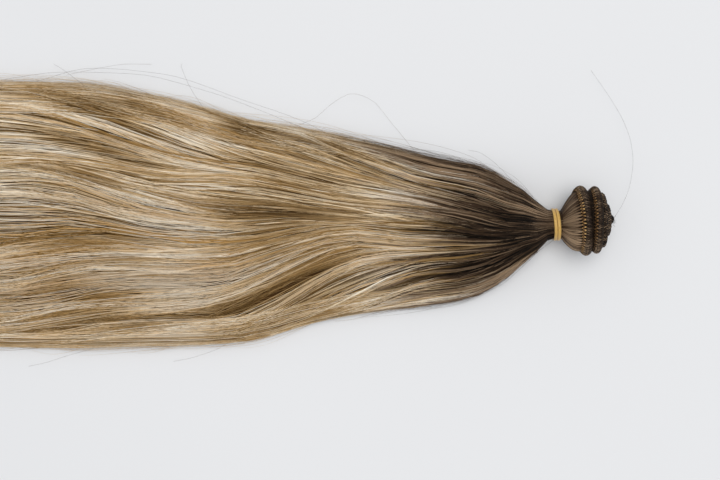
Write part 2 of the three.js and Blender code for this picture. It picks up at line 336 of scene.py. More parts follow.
def sweptMesh(name, steps, sides, place):
    bm = bmesh.new()
    bmesh.ops.create_grid(bm, x_segments=steps, y_segments=sides, size=0.5)
    bakeMap = bm.loops.layers.uv.new("OFBake")
    for face in bm.faces:
        for loop in face.loops:
            loop[bakeMap].uv = (loop.vert.co.x + 0.5, loop.vert.co.y + 0.5)
    flat = np.array([vert.co[:2] for vert in bm.verts]) + 0.5
    for vert, point in zip(bm.verts, place(flat[:, 0], flat[:, 1])):
        vert.co = point
    bmesh.ops.remove_doubles(bm, verts=bm.verts, dist=mergeDistance)
    rim = [edge for edge in bm.edges if edge.is_boundary]
    if rim:
        bmesh.ops.holes_fill(bm, edges=rim)
    bmesh.ops.recalc_face_normals(bm, faces=bm.faces)
    for face in bm.faces:
        face.smooth = True
    mesh = bpy.data.meshes.new(name)
    bm.to_mesh(mesh)
    bm.free()
    return mesh


def strandMesh(name, paths, radii, tones, corners=3):  # many thin closed strands joined in one mesh
    count, rings = paths.shape[:2]
    radii = np.broadcast_to(radii, (count, rings))
    along = np.gradient(paths, axis=1)
    along /= np.linalg.norm(along, axis=2, keepdims=True)
    side = np.cross(along, (0, 0, 1))
    side /= np.maximum(np.linalg.norm(side, axis=2, keepdims=True), 1e-9)
    up = np.cross(side, along)
    skin = []
    for corner in range(corners):
        angle = 2 * math.pi * corner / corners + math.pi / 2
        skin.append(paths + radii[..., None] * (math.cos(angle) * side + math.sin(angle) * up))
    points = np.stack(skin, axis=2).reshape(-1, 3)
    index = np.arange(count * rings * corners).reshape(count, rings, corners)
    here, there = index[:, :-1], index[:, 1:]
    turned = np.roll(here, -1, axis=2), np.roll(there, -1, axis=2)
    quads = np.stack((here, there, turned[1], turned[0]), axis=-1).reshape(-1, 4)
    starts = index[:, 0]
    ends = index[:, -1, ::-1]
    loops = np.concatenate((quads.ravel(), starts.ravel(), ends.ravel()))
    sizes = np.concatenate((np.full(len(quads), 4), np.full(2 * count, corners)))
    mesh = bpy.data.meshes.new(name)
    mesh.vertices.add(len(points))
    mesh.vertices.foreach_set("co", points.astype(np.float32).ravel())
    mesh.loops.add(len(loops))
    mesh.loops.foreach_set("vertex_index", loops.astype(np.int32))
    mesh.polygons.add(len(sizes))
    mesh.polygons.foreach_set("loop_start", np.concatenate(([0], np.cumsum(sizes)[:-1])).astype(np.int32))
    mesh.polygons.foreach_set("use_smooth", np.ones(len(sizes), bool))
    mesh.update(calc_edges=True)
    # every strand gets a cell of its own on the bake map
    columns = max(1, round(math.sqrt(count) / 5))
    rows = math.ceil(count / columns)
    strand = np.repeat(np.arange(count), rings * corners)
    ring = np.tile(np.repeat(np.arange(rings), corners), count)
    corner = np.tile(np.arange(corners), count * rings)
    u = (strand % columns + bakeCell["left"] + bakeCell["width"] * ring / (rings - 1)) / columns
    turn = np.abs(corner - 1) / max(1, corners - 2)
    v = (strand // columns + bakeCell["bottom"] + bakeCell["height"] * turn) / rows
    bakeMap = mesh.uv_layers.new(name="OFBake")
    bakeMap.data.foreach_set("uv", np.stack((u, np.minimum(v, 1)), axis=-1)[loops].astype(np.float32).ravel())
    tone = mesh.attributes.new("strandTone", "FLOAT_COLOR", "POINT")
    tones = np.broadcast_to(tones, (count, rings, 3))
    colours = np.concatenate((tones, np.ones((count, rings, 1))), axis=2)
    colours = np.repeat(colours[:, :, None], corners, axis=2)
    tone.data.foreach_set("color", colours.astype(np.float32).ravel())
    return mesh


def toneLayers(rooted, light, warm=0):  # share of root colour, lightness and warmth, as the finish reads them
    return np.stack(np.broadcast_arrays(rooted, np.clip(light, 0, 1), np.clip(warm, 0, 1)), axis=-1)


# Finishes of the hair

hairColours = {
    "rootDark": paint(14, 9, 5), "root": paint(80, 61, 45), "rootLight": paint(176, 150, 121),
    "shade": paint(78, 53, 24), "honey": paint(173, 143, 99), "blond": paint(240, 221, 188),
    "pale": paint(255, 251, 239), "gold": paint(208, 166, 101),
}


def toneParts(finish):
    tone = finish.add("ShaderNodeAttribute", {"attribute_name": "strandTone"}, {})
    split = finish.add("ShaderNodeSeparateColor", {}, {"Color": tone})
    return [Signal(finish, split.socket.node.outputs[i]) for i in range(3)]


def strandFinish():
    finish = Finish("hair_strands")
    rooted, lightness, warmth = toneParts(finish)
    c = hairColours
    roots = finish.ramp(lightness, ((0, c["rootDark"]), (0.5, c["root"]), (1, c["rootLight"])))
    length = finish.ramp(lightness, ((0, c["shade"]), (0.36, c["honey"]), (0.68, c["blond"]), (1, c["pale"])))
    warm = finish.mixColours(warmth, length, c["gold"])
    return finish.set(colour=finish.mixColours(rooted, warm, roots), roughness=0.45, specular=0.07)


def massFinish():
    finish = Finish("hair_mass")
    rooted = toneParts(finish)[0]
    place = finish.add("ShaderNodeTexCoord", {}, {}, output=2)
    fine = finish.noise(finish.stretched(place, (9, 420, 1)), 1.0, detail=3)
    broad = finish.noise(finish.stretched(place, (5, 60, 1)), 1.0, detail=2)
    streak = fine * 0.55 + broad * 0.45
    c = hairColours
    # the mass is painted darker than the strands above it, as painted shade where it shows between them
    roots = finish.ramp(streak, ((0.3, paint(22, 15, 10)), (0.7, c["root"])))
    length = finish.ramp(streak, ((0.3, paint(52, 38, 22)), (0.52, c["shade"]), (0.7, c["honey"])))
    return finish.set(colour=finish.mixColours(rooted, length, roots), roughness=0.6, specular=0.05,
                      normal=finish.bump(fine, 0.5, 0.0006))


hairMaterial = strandFinish()

# Hair mass: the settled body of hair below the strands, painted dark as the shade that shows between them

mass = {"steps": 110, "sides": 72, "inset": 0.0013, "end": 0.95, "endRound": 0.08, "floor": 0.00005,
        "neckInset": 0.4, "thinnest": 0.002, "neckCap": 0.0006, "neckBlend": 0.016, "rootAt": (0.12, 0.28)}


def placeMass(u, w):
    at = mass["end"] * (0.3 * u + 0.7 * u * u)
    angle = 2 * math.pi * w
    across, up = np.sin(angle), np.cos(angle)
    inNeck = 1 - ease(at, 0.0, 0.03)
    back = onHair(at, across, 0.0)
    belly = onHair(at, across, 0.0, below=True)
    points = np.where((up >= 0)[:, None], back, belly)
    top, _, waist, _, middle, half = hairSection(at)
    inset = mass["inset"] * (1 - (1 - mass["neckInset"]) * inNeck)
    centreY = bandY + middle
    points[:, 1] = centreY + (points[:, 1] - centreY) * (1 - inset / half)
    points[:, 2] = waist + (points[:, 2] - waist) * (1 - inset / np.maximum(top - waist, mass["thinnest"]))
    points[:, 2] = np.maximum(points[:, 2], mass["floor"])
    points[:, 0] += mass["endRound"] * hair["length"] * across ** 2 * (at / mass["end"]) ** 4
    points[:, 0] += (hair["neckEnd"] - mass["neckCap"]) * (1 - ease(at, 0, mass["neckBlend"]))
    return points


massMesh = sweptMesh("hair_mass", mass["steps"], mass["sides"], placeMass)
massAt = (bandX - np.array([vert.co.x for vert in massMesh.vertices])) / hair["length"]
massRoot = 1 - ease(massAt, *mass["rootAt"])
massTone = massMesh.attributes.new("strandTone", "FLOAT_COLOR", "POINT")
massTone.data.foreach_set("color", np.repeat(massRoot, 4).astype(np.float32))
addPiece("hair_mass", massMesh, massFinish(), ("hair_fall",))
print("hair mass:", len(massMesh.polygons), "faces")

# Loose strands, in locks

strands = {
    "seed": 4, "rings": 25, "pieces": 5, "radius": 0.00016,
    "locks": 32, "subLocks": 7, "wisps": 5, "top": 3740, "loose": 230, "under": 850, "belly": 220,
    "lockSpread": 0.07, "subHalf": 0.024, "wispHalf": 0.004,
    "lockLift": 0.0012, "subLift": 0.0011, "bulge": 0.0009, "neckDepth": 0.0011,
    "rootEnd": 0.185, "rootSpread": 0.035, "rootBlend": 0.05,
    "firstStep": 0.3,                          # how short the first step of a strand is
    "light": 0.71, "depthShade": 0.28, "rimShade": 0.3,
    "looseLight": (0.72, 0.14), "underLight": (0.24, 0.13), "bellyLight": (0.4, 0.16),
    "rootFar": 0.1, "rootFarAt": (0.62, 0.95), "rootNear": 0.03, "rootNearAt": (0.6, 0.95),
    # bandAt, band: painted light and shade along the hair, bands across the fall that are lighter where its
    # waves catch the light and darker where they lie in shade
    "bandAt": (0, 0.206, 0.252, 0.3, 0.358, 0.417, 0.497, 0.576, 0.655, 1),
    "band": (0, 0.02, 0.05, -0.03, -0.15, -0.11, 0.18, 0.13, 0.05, 0.04),
    "spreadAt": (0, 0.03, 0.05, 0.08, 0.12, 0.16, 0.22, 0.3, 0.4, 0.47, 0.52, 0.6, 1),
    "farSpread": (0, 0.001, 0.0019, 0.0012, -0.001, -0.0018, -0.0004, 0, 0.0004, 0.0016, 0.001, 0, 0),
    "nearSpread": (0, 0, 0.0003, 0.0006, 0.0022, 0.0026, 0.0014, 0, 0.001, 0.0022, 0.0022, 0.0004, 0),
    "neckAt": (0.03, 0.15), "underBandAt": (0.02, 0.08), "neckThin": 0.62, "neckThinAt": (0.02, 0.25),
    "tipThin": 0.8, "tipThinAt": (0.93, 1),
    "neckContrast": 0.7, "neckShade": 0.29, "bandShade": 0.26, "streak": 0.25, "leastWarm": 0.05,
    "farAt": (0.36, 0.48), "farWarm": 0.1, "farContrast": 0.3, "farMiddle": 0.57, "strokeGain": 1.1,
    "floor": 0.0003, "sortRing": 13, "bendLimit": 0.76, "bendLimitSpread": 0.22, "goldenShare": 0.618,
    # strands put in where two bends draw the locks apart
    "fillCount": 240, "fillMiddle": -0.5, "fillReach": 0.045, "fillLift": 0.0008,
    # where the locks turn on their way: x, y, reach along and across in the photo's pixels, degrees
    "bends": (
        (285, 208, 72, 44, -20), (372, 250, 34, 24, -18), (450, 198, 45, 26, -11), (476, 266, 38, 28, 22),
        (185, 165, 38, 18, 10), (215, 297, 30, 34, 18), (85, 208, 62, 42, -20), (255, 190, 34, 30, -11),
        (330, 253, 50, 20, -9), (32, 186, 42, 38, -12),
    ),
    # painted highlights and shade, and lighter and darker locks: from x, y to x, y and half width in the
    # photo's pixels, how much lighter
    "strokes": (
        (-10, 137, 90, 156, 6, 0.3), (0, 166, 45, 171, 6, 0.3), (-30, 208, 40, 212, 8, 0.28),
        (-30, 281, 30, 283, 9, 0.22), (0, 107, 50, 110, 6, 0.14), (-30, 322, 30, 326, 8, 0.12),
        (165, 137, 245, 158, 10, 0.22), (215, 178, 270, 188, 9, 0.08), (365, 186, 480, 214, 7, 0.22),
        (385, 169, 445, 177, 6, 0.26), (400, 151, 545, 213, 7, 0.42), (350, 266, 435, 244, 11, 0.26),
        (455, 299, 545, 252, 6, 0.4), (175, 290, 320, 248, 9, 0.2), (170, 333, 290, 311, 7, 0.24),
        (130, 229, 245, 230, 12, 0.26), (15, 88, 200, 126, 8, -0.26), (120, 98, 190, 112, 6, -0.12),
        (15, 125, 180, 173, 7, -0.26), (35, 158, 150, 183, 5, -0.2), (10, 250, 155, 232, 8, -0.26),
        (185, 221, 375, 212, 8, -0.32), (230, 247, 350, 228, 6, -0.14), (315, 143, 390, 174, 10, -0.32),
        (205, 316, 350, 250, 9, -0.22), (30, 288, 135, 305, 9, -0.13), (310, 316, 390, 307, 5, -0.08),
        (380, 222, 470, 228, 6, -0.15), (505, 226, 545, 226, 9, -0.1), (365, 293, 440, 281, 6, 0.16),
        (225, 121, 295, 142, 6, -0.14), (30, 333, 120, 328, 6, -0.14), (345, 313, 460, 305, 5, 0.12),
        (180, 202, 225, 211, 5, 0.1), (140, 305, 215, 303, 6, 0.1), (80, 284, 265, 282, 24, 0.34),
        (-60, 296, 60, 294, 26, 0.34), (-50, 222, 55, 220, 24, 0.16), (35, 138, 190, 158, 22, -0.18),
        (130, 174, 200, 196, 12, -0.08), (245, 170, 385, 188, 13, -0.2), (250, 280, 335, 257, 10, 0.18),
        (365, 273, 425, 265, 7, 0.12), (430, 190, 505, 206, 8, -0.12), (400, 246, 465, 247, 7, -0.1),
        (388, 196, 445, 203, 8, 0.13), (232, 214, 280, 218, 7, 0.12), (77, 103, 143, 128, 4, -0.3),
        (123, 99, 200, 130, 3, -0.34), (200, 110, 253, 140, 4, -0.38), (240, 123, 330, 147, 3, -0.38),
        (215, 150, 267, 167, 4, -0.3), (7, 103, 67, 113, 4, 0.24), (50, 113, 150, 137, 4, 0.3),
        (150, 97, 233, 127, 4, 0.36), (255, 118, 340, 141, 3, 0.34), (60, 84, 150, 92, 3, 0.24),
        (120, 287, 240, 284, 16, 0.18), (140, 226, 200, 228, 9, 0.16), (70, 128, 165, 134, 14, -0.14),
        (150, 164, 170, 168, 8, -0.12), (320, 185, 360, 192, 9, -0.14), (245, 251, 275, 248, 9, -0.18),
        (395, 191, 420, 193, 7, 0.14), (365, 275, 395, 275, 7, 0.16), (-10, 190, 30, 205, 14, 0.12),
        (-10, 240, 20, 280, 12, 0.12), (35, 316, 140, 310, 3, -0.32), (118, 321, 150, 330, 3, -0.28),
        (120, 273, 165, 276, 3, -0.26), (0, 284, 72, 287, 3, -0.24), (60, 299, 130, 294, 3, -0.24),
        (160, 290, 225, 281, 3, -0.26), (150, 262, 235, 256, 4, 0.2), (0, 270, 60, 272, 3, -0.2),
        (75, 279, 120, 280, 3, 0.2), (20, 306, 95, 303, 3, 0.22),
    ),
    # the same for warm and cool hair; in shaded places some warm strokes are painted light shining through
    # the hair
    "warmStrokes": (
        (-20, 92, 160, 104, 13, -0.34), (200, 112, 335, 150, 15, -0.34), (250, 165, 345, 168, 14, -0.22),
        (175, 274, 245, 268, 17, 0.25), (20, 297, 160, 288, 17, 0.16), (30, 198, 140, 204, 9, 0.18),
        (150, 212, 220, 216, 8, 0.2), (390, 204, 430, 205, 10, 0.26), (385, 268, 405, 268, 10, 0.28),
    ),
}
rng = np.random.default_rng(strands["seed"])


def stationsFor(reach):  # shorter steps near the neck
    share = np.linspace(0, 1, strands["rings"])
    return reach[:, None] * (share * (strands["firstStep"] + (1 - strands["firstStep"]) * share))[None]


def wobbles(count, size, short, long):  # how each of several locks wanders along its length
    return {
        "size": size * rng.uniform(0.5, 1.4, (count, 2)) * (0.65, 0.4),
        "length": np.stack((rng.uniform(short, long, count), rng.uniform(short, long, count) * 0.55), axis=1),
        "phase": rng.uniform(0, 1, (count, 2)),
    }


def wander(table, index, at):
    result = np.zeros_like(at)
    for k in range(2):
        length, phase, size = (table[key][index, k][:, None] for key in ("length", "phase", "size"))
        result += size * np.sin(2 * math.pi * (at / length + phase))
    return result


def tipReach(end, count):  # share of the length where a strand stops, shorter towards the sides
    return np.clip(0.99 - 0.085 * np.abs(end) ** 2.2 - np.abs(rng.normal(0, 0.022, count)), 0.5, 1)


def crowded(end):  # more hair towards both sides
    return np.sign(end) * (1 - (1 - np.clip(np.abs(end), 0, 0.995)) ** 1.35)


def column(values):
    return np.asarray(values)[:, None]


def between(low, high, count):
    return column(rng.uniform(low, high, count))


def around(middle, spread, count):
    return column(rng.normal(middle, spread, count))


def bentCourse(at, across):  # follows each strand from the elastic to its tip and turns it at the bends
    at, across = (np.array(values) for values in np.broadcast_arrays(at, across))
    middle, half = hairSection(at)[4:]
    x = halfWidth + view["bandAcross"] - at * hair["length"] / view["pixel"]
    spread = np.arange(len(at)) * strands["goldenShare"] % 1
    limit = strands["bendLimit"] + strands["bendLimitSpread"] * spread
    shift = np.zeros(len(at))
    for ring in range(1, at.shape[1]):
        place = np.clip(across[:, ring] + shift, -1, 1)
        y = halfHeight - view["bandUp"] - (middle[:, ring] + half[:, ring] * place) / view["pixel"]
        slope = np.zeros(len(at))
        for bendX, bendY, wide, high, turn in strands["bends"]:
            near = np.exp(-((x[:, ring] - bendX) / wide) ** 2 - ((y - bendY) / high) ** 2)
            slope += math.tan(math.radians(turn)) * near
        step = (at[:, ring] - at[:, ring - 1]) * hair["length"]
        shift -= slope * step / half[:, ring] * (1 - place ** 2)
        widest = np.maximum(limit, np.abs(across[:, ring]))
        across[:, ring] = np.clip(across[:, ring] + shift, -widest, widest)
    return across


def onStrands(at, across, lift, below=False):  # as onHair, with the outer strands standing a little wider
    across = bentCourse(at, across)
    points = onHair(at, across, lift, below)
    far, near = (smoothColumn(strands["spreadAt"], strands[key], at) for key in ("farSpread", "nearSpread"))
    points[..., 1] += far * ease(across, 0.55, 1) - near * ease(-across, 0.55, 1)
    return points


# how much, from and to across the hair, from and to along it
edgeLight = {
    "farSide": (0.26, 0.68, 0.97, 0.3, 0.5), "nearSide": (0.3, 0.74, 0.98, 0.22, 0.3), "from": (0.02, 0.07),
}


def sideLight(at, across):  # the outermost strands of the root end are sunlit ash and tan
    light = 0
    for key, outwards in (("farSide", across), ("nearSide", -across)):
        gain, acrossStart, acrossEnd, fadeStart, fadeEnd = edgeLight[key]
        light = light + gain * ease(outwards, acrossStart, acrossEnd) * (1 - ease(at, fadeStart, fadeEnd))
    return light * ease(at, *edgeLight["from"])


def topStrands(count):  # locks hold smaller locks, these hold wisps, and a wisp is a few strands
    lockCount = strands["locks"]
    subCount = lockCount * strands["subLocks"]
    wispCount = subCount * strands["wisps"]
    centre = crowded(np.linspace(-0.98, 0.98, lockCount) + rng.normal(0, 0.4 / lockCount, lockCount))
    lock = {
        "wander": wobbles(lockCount, 0.02, 0.26, 0.55), "rise": wobbles(lockCount, 0.3, 0.2, 0.5),
        "shade": wobbles(lockCount, 0.05, 0.25, 0.5), "height": rng.uniform(0.1, 1, lockCount),
        "light": rng.normal(0, 0.07, lockCount), "warm": rng.normal(0.22, 0.16, lockCount),
        "root": rng.normal(0, 1, lockCount), "end": rng.uniform(0.95, 1, lockCount),
    }
    sub = {
        "lock": np.arange(subCount) // strands["subLocks"],
        "offset": strands["lockSpread"] * rng.uniform(-1, 1, subCount),
        "wander": wobbles(subCount, 0.024, 0.17, 0.42), "rise": wobbles(subCount, 0.25, 0.2, 0.5),
        "shade": wobbles(subCount, 0.16, 0.22, 0.55), "tint": wobbles(subCount, 0.2, 0.3, 0.7),
        "height": rng.uniform(-0.3, 1, subCount), "light": rng.normal(0, 0.15, subCount),
        "drift": rng.normal(0, 0.05, subCount),
        "neckShade": 0.5 * rng.uniform(0, 1, subCount) ** 2,
        "root": rng.normal(0, 1, subCount), "half": strands["subHalf"] * rng.uniform(0.6, 1.5, subCount),
    }
    wisp = {
        "sub": np.arange(wispCount) // strands["wisps"],
        "offset": np.clip(rng.normal(0, 0.5, wispCount), -1.2, 1.2),
        "wander": wobbles(wispCount, 0.0045, 0.16, 0.34),
        # about one wisp in eight is painted darker, as painted shade in the gaps between locks
        "light": rng.normal(0, 0.1, wispCount) - 0.29 * (rng.uniform(0, 1, wispCount) < 0.12),
        "shade": wobbles(wispCount, 0.06, 0.1, 0.3), "depth": rng.uniform(0, 1, wispCount) ** 1.3,
        "root": rng.normal(0, 1, wispCount),
    }
    w = np.sort(rng.integers(0, wispCount, count))
    s = wisp["sub"][w]
    k = sub["lock"][s]
    end = np.clip(centre[k] + sub["offset"][s], -0.985, 0.985)
    at = stationsFor(tipReach(end, count) * lock["end"][k])
    free = ease(at, 0.01, 0.12)
    narrow = 1 - 0.5 * ease(at, 0.75, 1)
    across = flowAcross(at, column(end) * np.ones_like(at))
    wandered = wander(lock["wander"], k, at) + wander(sub["wander"], s, at) + wander(wisp["wander"], w, at)
    across += free * wandered
    drift = ease(at, 0.12, 0.95) - 0.9 * ease(at, 0.02, 0.13) + 0.4 * ease(at, 0.13, 0.3)
    across += column(sub["drift"][s]) * drift
    across += column(wisp["offset"][w] * sub["half"][s]) * narrow * (2.2 - 1.2 * free)
    across += strands["wispHalf"] * around(0, 0.6, count) * (3 - 2 * free)
    across = np.clip(across, -1, 1) * (1 - 0.03 * (1 - free))
    depth = wisp["depth"][w] + rng.normal(0, 0.08, count)
    rise = strands["lockLift"] * (column(lock["height"][k]) + wander(lock["rise"], k, at))
    rise += strands["subLift"] * (column(sub["height"][s]) + wander(sub["rise"], s, at))
    rise += strands["bulge"] * column(np.sqrt(np.clip(1 - wisp["offset"][w] ** 2, 0, 1)) - depth)
    edge = 1 - ease(np.abs(across), 0.84, 1.0)
    lift = rise * free * (0.2 + 0.8 * edge) * (1 - 0.6 * ease(at, 0.85, 1))
    lift -= (0.0002 + strands["neckDepth"] * column(np.clip(depth, 0, 1))) * (1 - free)
    rim = np.clip(wisp["offset"][w] ** 2, 0, 1)
    light = lock["light"][k] + sub["light"][s] + wisp["light"][w] + rng.normal(0, 0.04, count)
    light = strands["light"] + column(light - strands["depthShade"] * depth - strands["rimShade"] * rim)
    light = light + wander(lock["shade"], k, at) + wander(sub["shade"], s, at) + wander(wisp["shade"], w, at)
    light = light - column(sub["neckShade"][s]) * (1 - ease(at, 0.1, 0.24))
    warm = column(lock["warm"][k] + rng.normal(0, 0.05, count)) + wander(sub["tint"], s, at)
    root = strands["rootEnd"] + strands["rootSpread"] * column(
        0.8 * lock["root"][k] + 0.8 * sub["root"][s] + 0.7 * wisp["root"][w])
    root = root + strands["rootFar"] * ease(across, *strands["rootFarAt"])
    root = root - strands["rootNear"] * ease(-across, *strands["rootNearAt"])
    light = light + sideLight(at, across)
    return at, onStrands(at, across, lift), light, warm, root


def looseStrands(count):  # single hairs that cross over the locks
    end = rng.uniform(-0.96, 0.96, count)
    at = stationsFor(tipReach(end, count))
    free = ease(at, 0.02, 0.2)
    across = flowAcross(at, column(end) * np.ones_like(at))
    across += free * wander(wobbles(count, 0.028, 0.3, 0.7), np.arange(count), at)
    across = np.clip(across, -0.99, 0.99)
    lift = free * between(0.0016, 0.0026, count) * (1 - 0.7 * ease(np.abs(across), 0.8, 1))
    light = around(*strands["looseLight"], count)
    root = strands["rootEnd"] - 0.02 + 0.06 * around(0, 1, count)
    return at, onStrands(at, across, lift), light, between(0, 0.3, count), root


def underStrands(count):
    even = rng.uniform(-1, 1, count)
    fills = np.arange(count) < strands["fillCount"]
    end = np.where(fills, strands["fillMiddle"] + strands["fillReach"] * even, 0.97 * even)
    at = stationsFor(tipReach(end, count))
    across = 0.6 * flowAcross(at, column(end) * np.ones_like(at)) + 0.4 * column(end)
    free = ease(at, 0.02, 0.2)
    across += free * wander(wobbles(count, 0.01, 0.2, 0.5), np.arange(count), at)
    across = np.clip(across, -1, 1) * (1 - 0.03 * (1 - free))
    lift = free * column(rng.uniform(-0.001, 0.0004, count) + strands["fillLift"] * fills)
    lift -= 0.0004 * (1 - free)
    # the under strands are painted dark, as painted shade where they show between the locks
    light = around(*strands["underLight"], count)
    root = strands["rootEnd"] + 0.03 + strands["rootSpread"] * around(0, 1, count)
    root = root + strands["rootFar"] * ease(across, *strands["rootFarAt"])
    light = light + 1.3 * sideLight(at, across)
    return at, onStrands(at, across, lift), light, between(0, 0.35, count), root


def bellyStrands(count):
    at = stationsFor(rng.uniform(0.16, 0.3, count))
    free = ease(at, 0.02, 0.1)
    across = between(-0.98, 0.98, count) * (1 - 0.03 * (1 - free))
    lift = -0.0003 * (1 - free) + free * between(-0.0003, 0.0003, count)
    light = around(*strands["bellyLight"], count)
    root = strands["rootEnd"] + 0.05 * around(0, 1, count)
    return at, onHair(at, across, lift, below=True), light, column(np.full(count, 0.15)), root


def strokeTotal(points, strokes):  # what the painted strokes add at each point, as the camera sees it
    scale = view["distance"] / (cameraHeight - points[..., 2]) / view["pixel"]
    x = halfWidth + (points[..., 0] - middleX) * scale
    y = halfHeight - (points[..., 1] - middleY) * scale
    total = np.zeros_like(x)
    for startX, startY, endX, endY, width, amount in strokes:
        goX, goY = endX - startX, endY - startY
        share = np.clip(((x - startX) * goX + (y - startY) * goY) / (goX ** 2 + goY ** 2), 0, 1)
        gap = (x - startX - share * goX) ** 2 + (y - startY - share * goY) ** 2
        total += amount * (0.5 + 0.5 * np.sin(math.pi * share)) * np.exp(-gap / width ** 2)
    return total


def strandTones(at, across, light, warm, root):
    rooted = 1 - ease(at, root - strands["rootBlend"], root + strands["rootBlend"])
    light = light + smoothColumn(strands["bandAt"], strands["band"], at) * (1 - rooted)
    inNeck = 1 - ease(at, *strands["neckAt"])
    streaks = np.sin(46 * across + 4 * np.sin(11 * across + 9 * at)) * (0.6 + 0.4 * np.sin(17 * across + 2))
    atBand = 1 - ease(at, *strands["underBandAt"])
    neckLight = strands["neckContrast"] * (light - np.mean(light)) - strands["neckShade"]
    light = light + inNeck * (neckLight + strands["streak"] * streaks) - strands["bandShade"] * atBand
    far = ease(at, *strands["farAt"])
    light = light + strands["farContrast"] * far * (light - strands["farMiddle"])
    warm = np.clip(warm, strands["leastWarm"], 1) + strands["farWarm"] * far
    return toneLayers(rooted, light, warm)


layers = {"top": topStrands, "loose": looseStrands, "under": underStrands, "belly": bellyStrands}
grown = [[np.broadcast_to(value, value.shape[:1] + (strands["rings"],) + value.shape[2:])
          for value in grow(strands[layer])] for layer, grow in layers.items()]
at, paths, light, warm, root = (np.concatenate([layer[i] for layer in grown]) for i in range(5))
paths[..., 2] = np.maximum(paths[..., 2], strands["floor"])
thicker = ease(at, *strands["neckThinAt"])
thinner = ease(np.linspace(0, 1, strands["rings"]), *strands["tipThinAt"])[None]
radii = strands["radius"] * rng.uniform(0.75, 1.25, (len(at), 1))
radii = radii * (strands["neckThin"] + (1 - strands["neckThin"]) * thicker)
radii = radii * (1 - strands["tipThin"] * thinner)
section = hairSection(at)
across = (paths[..., 1] - bandY - section[4]) / section[5]
# painted highlights and painted shade, along with lighter and darker locks, from the strokes
light = light + strands["strokeGain"] * strokeTotal(paths, strands["strokes"])
warm = warm + strokeTotal(paths, strands["warmStrokes"])
tones = strandTones(at, across, light, warm, root)
order = np.argsort(paths[:, strands["sortRing"], 1])
for i, chosen in enumerate(np.array_split(order, strands["pieces"])):
    mesh = strandMesh(f"hair_strands_{i + 1}", paths[chosen], radii[chosen], tones[chosen])
    addPiece(mesh.name, mesh, hairMaterial)
print("loose strands:", len(at))

# Rolled end: sizes in millimetres from the elastic's middle, the same as the solids have

roll = {
    "radius": 22.4, "depth": 33.5, "neckHeight": 16, "axisHeight": 21.9, "shift": 2.4, "climb": 14.405,
    "turn": (0, 0.25, 0.5, 0.75, 1.25, 1.5, 1.75, 2.25, 2.5, 2.75, 3.25, 3.75, 4.25, 4.75),
    "along": (0.415, 0.43, 0.478, 0.55, 0.71, 0.704, 0.752, 0.84, 0.836, 0.868, 0.93, 0.948, 0.992, 1),
    "out": (0.94, 0.94, 0.94, 0.94, 0.925, 0.905, 0.88, 0.73, 0.71, 0.69, 0.42, 0.36, 0.13, 0.11),
    "lean": (0, 0, 0, 0, 0, 2, 4, 38, 42, 46, 62, 58, 20, 8),
    "curl": (1.5, 1.5, 1.5, 1.5, 1.4, 1.35, 1.3, 1, 1, 1, 0.8, 0.6, 0.3, 0.3),
    "wide": (1, 1, 1, 1, 0.84, 0.82, 0.8, 0.72, 0.72, 0.72, 0.85, 0.9, 0.9, 0.9),
    "turns": 4.72, "steps": 2000, "width": 6.8, "inside": 1.3, "outside": 1.45, "lowest": 0.3, "square": 0.95,
    "coreX": (-3.4, 1, 4.2, 4.99, 7.18, 9.7, 12.2, 14.4, 20, 23, 26.5, 28.1, 29.8, 31.8, 33.5),
    "coreOut": (5.8, 8.2, 9.4, 11, 14, 16.4, 18.1, 18.9, 18.9, 18.7, 17.6, 15.6, 10.8, 6, 1.6),
}


def rollPoint(x, radius, bearing):  # bearing in turns, 0 below and 0.25 at the far side
    climb = ease(x, 0, roll["climb"])
    angle = 2 * math.pi * bearing
    y = roll["shift"] * climb + radius * np.sin(angle)
    z = roll["neckHeight"] + (roll["axisHeight"] - roll["neckHeight"]) * climb - radius * np.cos(angle)
    return np.stack((bandX + x / 1000, bandY + y / 1000, np.maximum(z, roll["lowest"]) / 1000), axis=-1)


def ofTurn(key, turn):
    return smoothColumn(roll["turn"], roll[key], turn)


def stripMiddle(turn):
    return ofTurn("along", turn) * roll["depth"]


def onWeft(turn, across, through):  # a place on the sewn strip
    through = through - ofTurn("curl", turn) * (2 * across / roll["width"]) ** 2
    across = across * ofTurn("wide", turn)
    lean = np.radians(ofTurn("lean", turn))
    out = ofTurn("out", turn) * roll["radius"]
    x = stripMiddle(turn)
    radius = out - across * np.sin(lean) + through * np.cos(lean)
    return rollPoint(x + across * np.cos(lean) + through * np.sin(lean), radius, turn)


turnSteps = np.linspace(0, roll["turns"], roll["steps"])
stripSteps = np.diff(onWeft(turnSteps, 0 * turnSteps, 0 * turnSteps), axis=0)
weftLength = np.concatenate(([0], np.cumsum(np.linalg.norm(stripSteps, axis=1)))) * 1000


def turnAt(length):
    return np.interp(length, weftLength, turnSteps)


def lengthAt(turn):
    return np.interp(turn, turnSteps, weftLength)


def squared(value, power):  # pulls a sine or cosine towards a square outline
    return np.sign(value) * np.abs(value) ** power


def facingUp(turn):
    return (0.5 - 0.5 * np.cos(2 * math.pi * turn)) ** 2


# Sewn strip, wound up

weft = {"steps": 1100, "sides": 18, "pitch": 2.2, "braid": 0.42, "ripple": 0.1, "braidAt": (1.9, 2.3),
        "wave": 0.35, "endAt": 0.006, "lastAt": 0.988, "endSize": 0.35}


